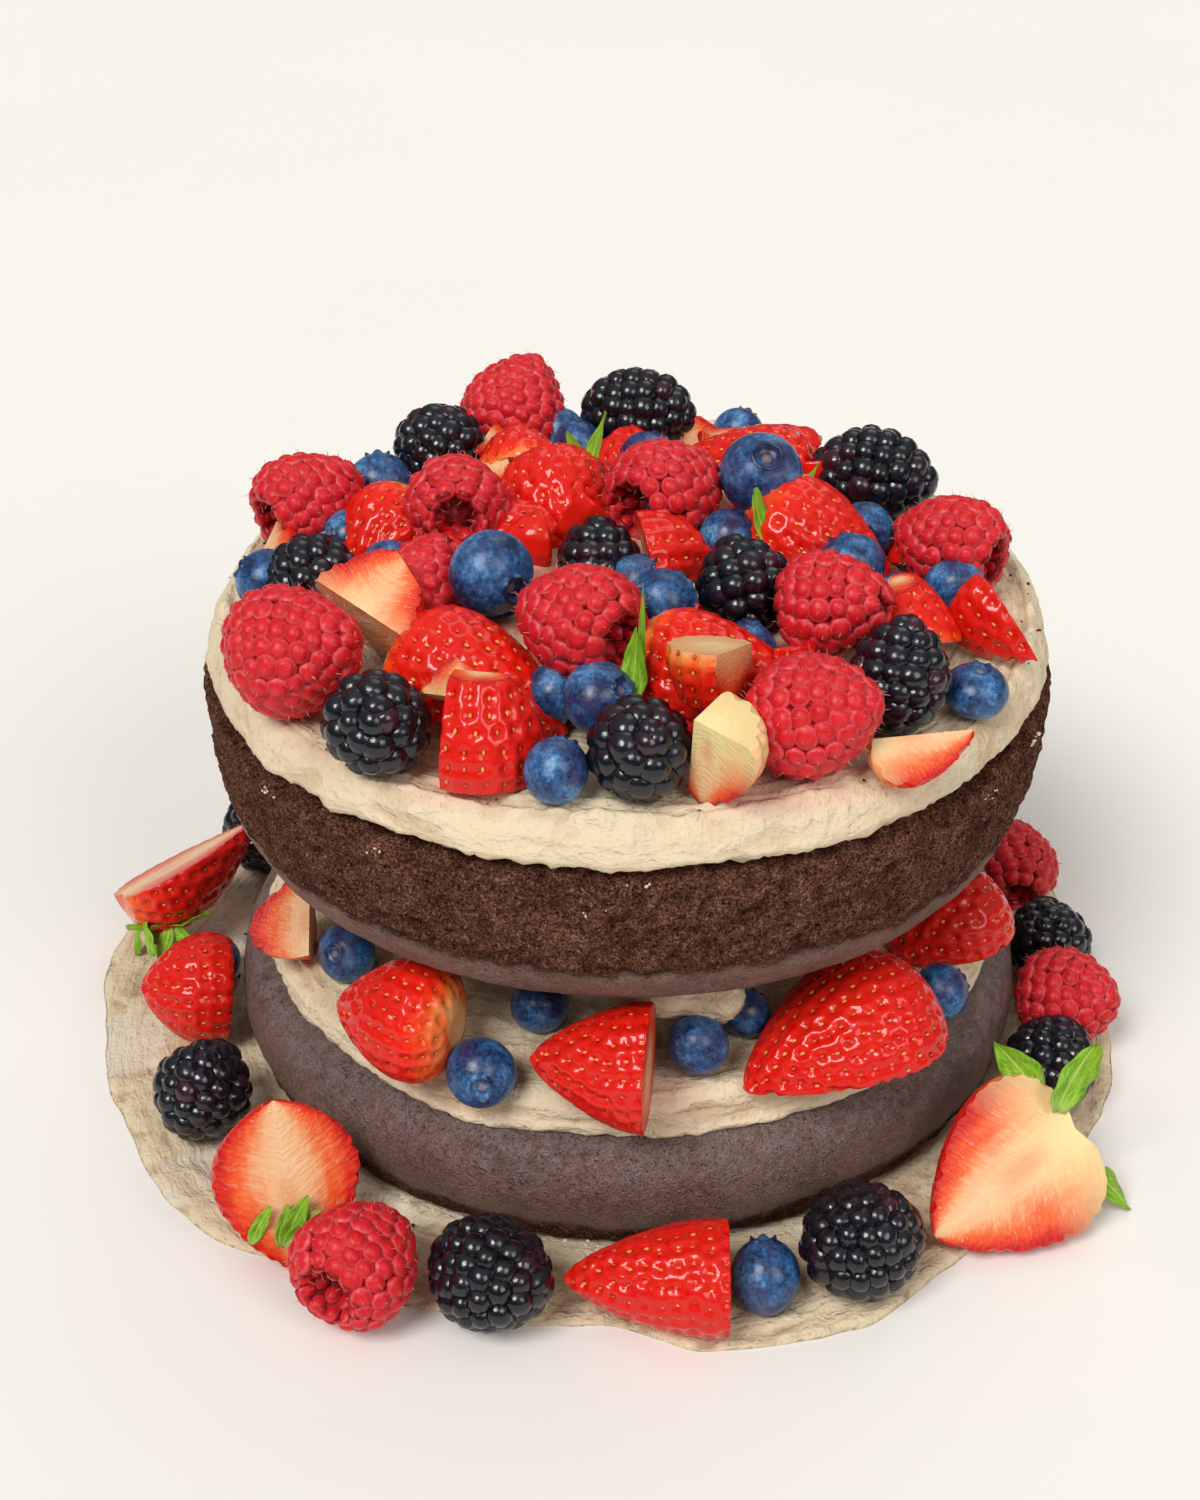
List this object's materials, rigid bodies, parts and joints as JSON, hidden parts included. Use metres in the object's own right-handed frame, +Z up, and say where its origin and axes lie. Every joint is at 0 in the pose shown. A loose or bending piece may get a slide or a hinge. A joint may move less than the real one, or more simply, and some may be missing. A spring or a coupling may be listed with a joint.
{
  "type": "chocolate layer cake",
  "caption": "Round chocolate layer cake with cream and fresh berries on top, between its layers and round its foot.",
  "frame": {"origin": "on the axis of the sponges, on the surface that the cake stands on", "axes": "+Z up, -Y towards the side that faces the viewer, +X to that viewer's right"},
  "size_m": [0.203, 0.2033, 0.1204],
  "materials": {
    "sponge": "matte crumb",
    "cream": "soft matte",
    "raspberry": "soft, finely hairy",
    "bramble": "glossy",
    "blueberry": "waxy bloom",
    "strawberry": "glossy skin, moist cut faces"
  },
  "bodies": {
    "root": {"berry_heap": "raspberry", "cream_filling": "cream", "cream_foot": "cream", "cream_top": "cream", "sponge_lower": "sponge", "sponge_upper": "sponge", "filling_blueberry_back": "blueberry", "filling_blueberry_back_left": "blueberry", "filling_blueberry_far_right": "blueberry", "filling_blueberry_front": "blueberry", "filling_blueberry_inner": "blueberry", "filling_blueberry_left": "blueberry", "filling_blueberry_middle": "blueberry", "filling_blueberry_right": "blueberry", "filling_raspberry_back_right": "raspberry", "filling_raspberry_far_left": "raspberry", "filling_strawberry_back": "strawberry", "filling_strawberry_back_left": "strawberry", "filling_strawberry_far_left": "strawberry", "filling_strawberry_far_right": "strawberry", "filling_strawberry_front": "strawberry", "filling_strawberry_front_left": "strawberry", "filling_strawberry_front_right": "strawberry", "filling_strawberry_left": "strawberry", "filling_strawberry_right": "strawberry", "foot_blueberry_back": "blueberry", "foot_blueberry_back_left": "blueberry", "foot_blueberry_far_right": "blueberry", "foot_blueberry_front": "blueberry", "foot_blueberry_left": "blueberry", "foot_bramble_back": "bramble", "foot_bramble_back_right": "bramble", "foot_bramble_far_left": "bramble", "foot_bramble_far_right": "bramble", "foot_bramble_front": "bramble", "foot_bramble_front_right": "bramble", "foot_bramble_left": "bramble", "foot_bramble_right": "bramble", "foot_raspberry_back_left": "raspberry", "foot_raspberry_back_right": "raspberry", "foot_raspberry_far_right": "raspberry", "foot_raspberry_front": "raspberry", "foot_raspberry_right": "raspberry", "foot_strawberry_back": "strawberry", "foot_strawberry_back_right": "strawberry", "foot_strawberry_far_left": "strawberry", "foot_strawberry_front": "strawberry", "foot_strawberry_front_left": "strawberry", "foot_strawberry_left": "strawberry", "foot_strawberry_right": "strawberry", "top_blueberry_front": "blueberry", "top_blueberry_right": "blueberry", "top_bramble_front": "bramble", "top_bramble_left": "bramble", "top_bramble_right": "bramble", "top_raspberry_front": "raspberry", "top_raspberry_left": "raspberry", "top_strawberry_block": "strawberry", "top_strawberry_chip": "strawberry", "top_strawberry_wedge": "strawberry"}
  },
  "joints": []
}
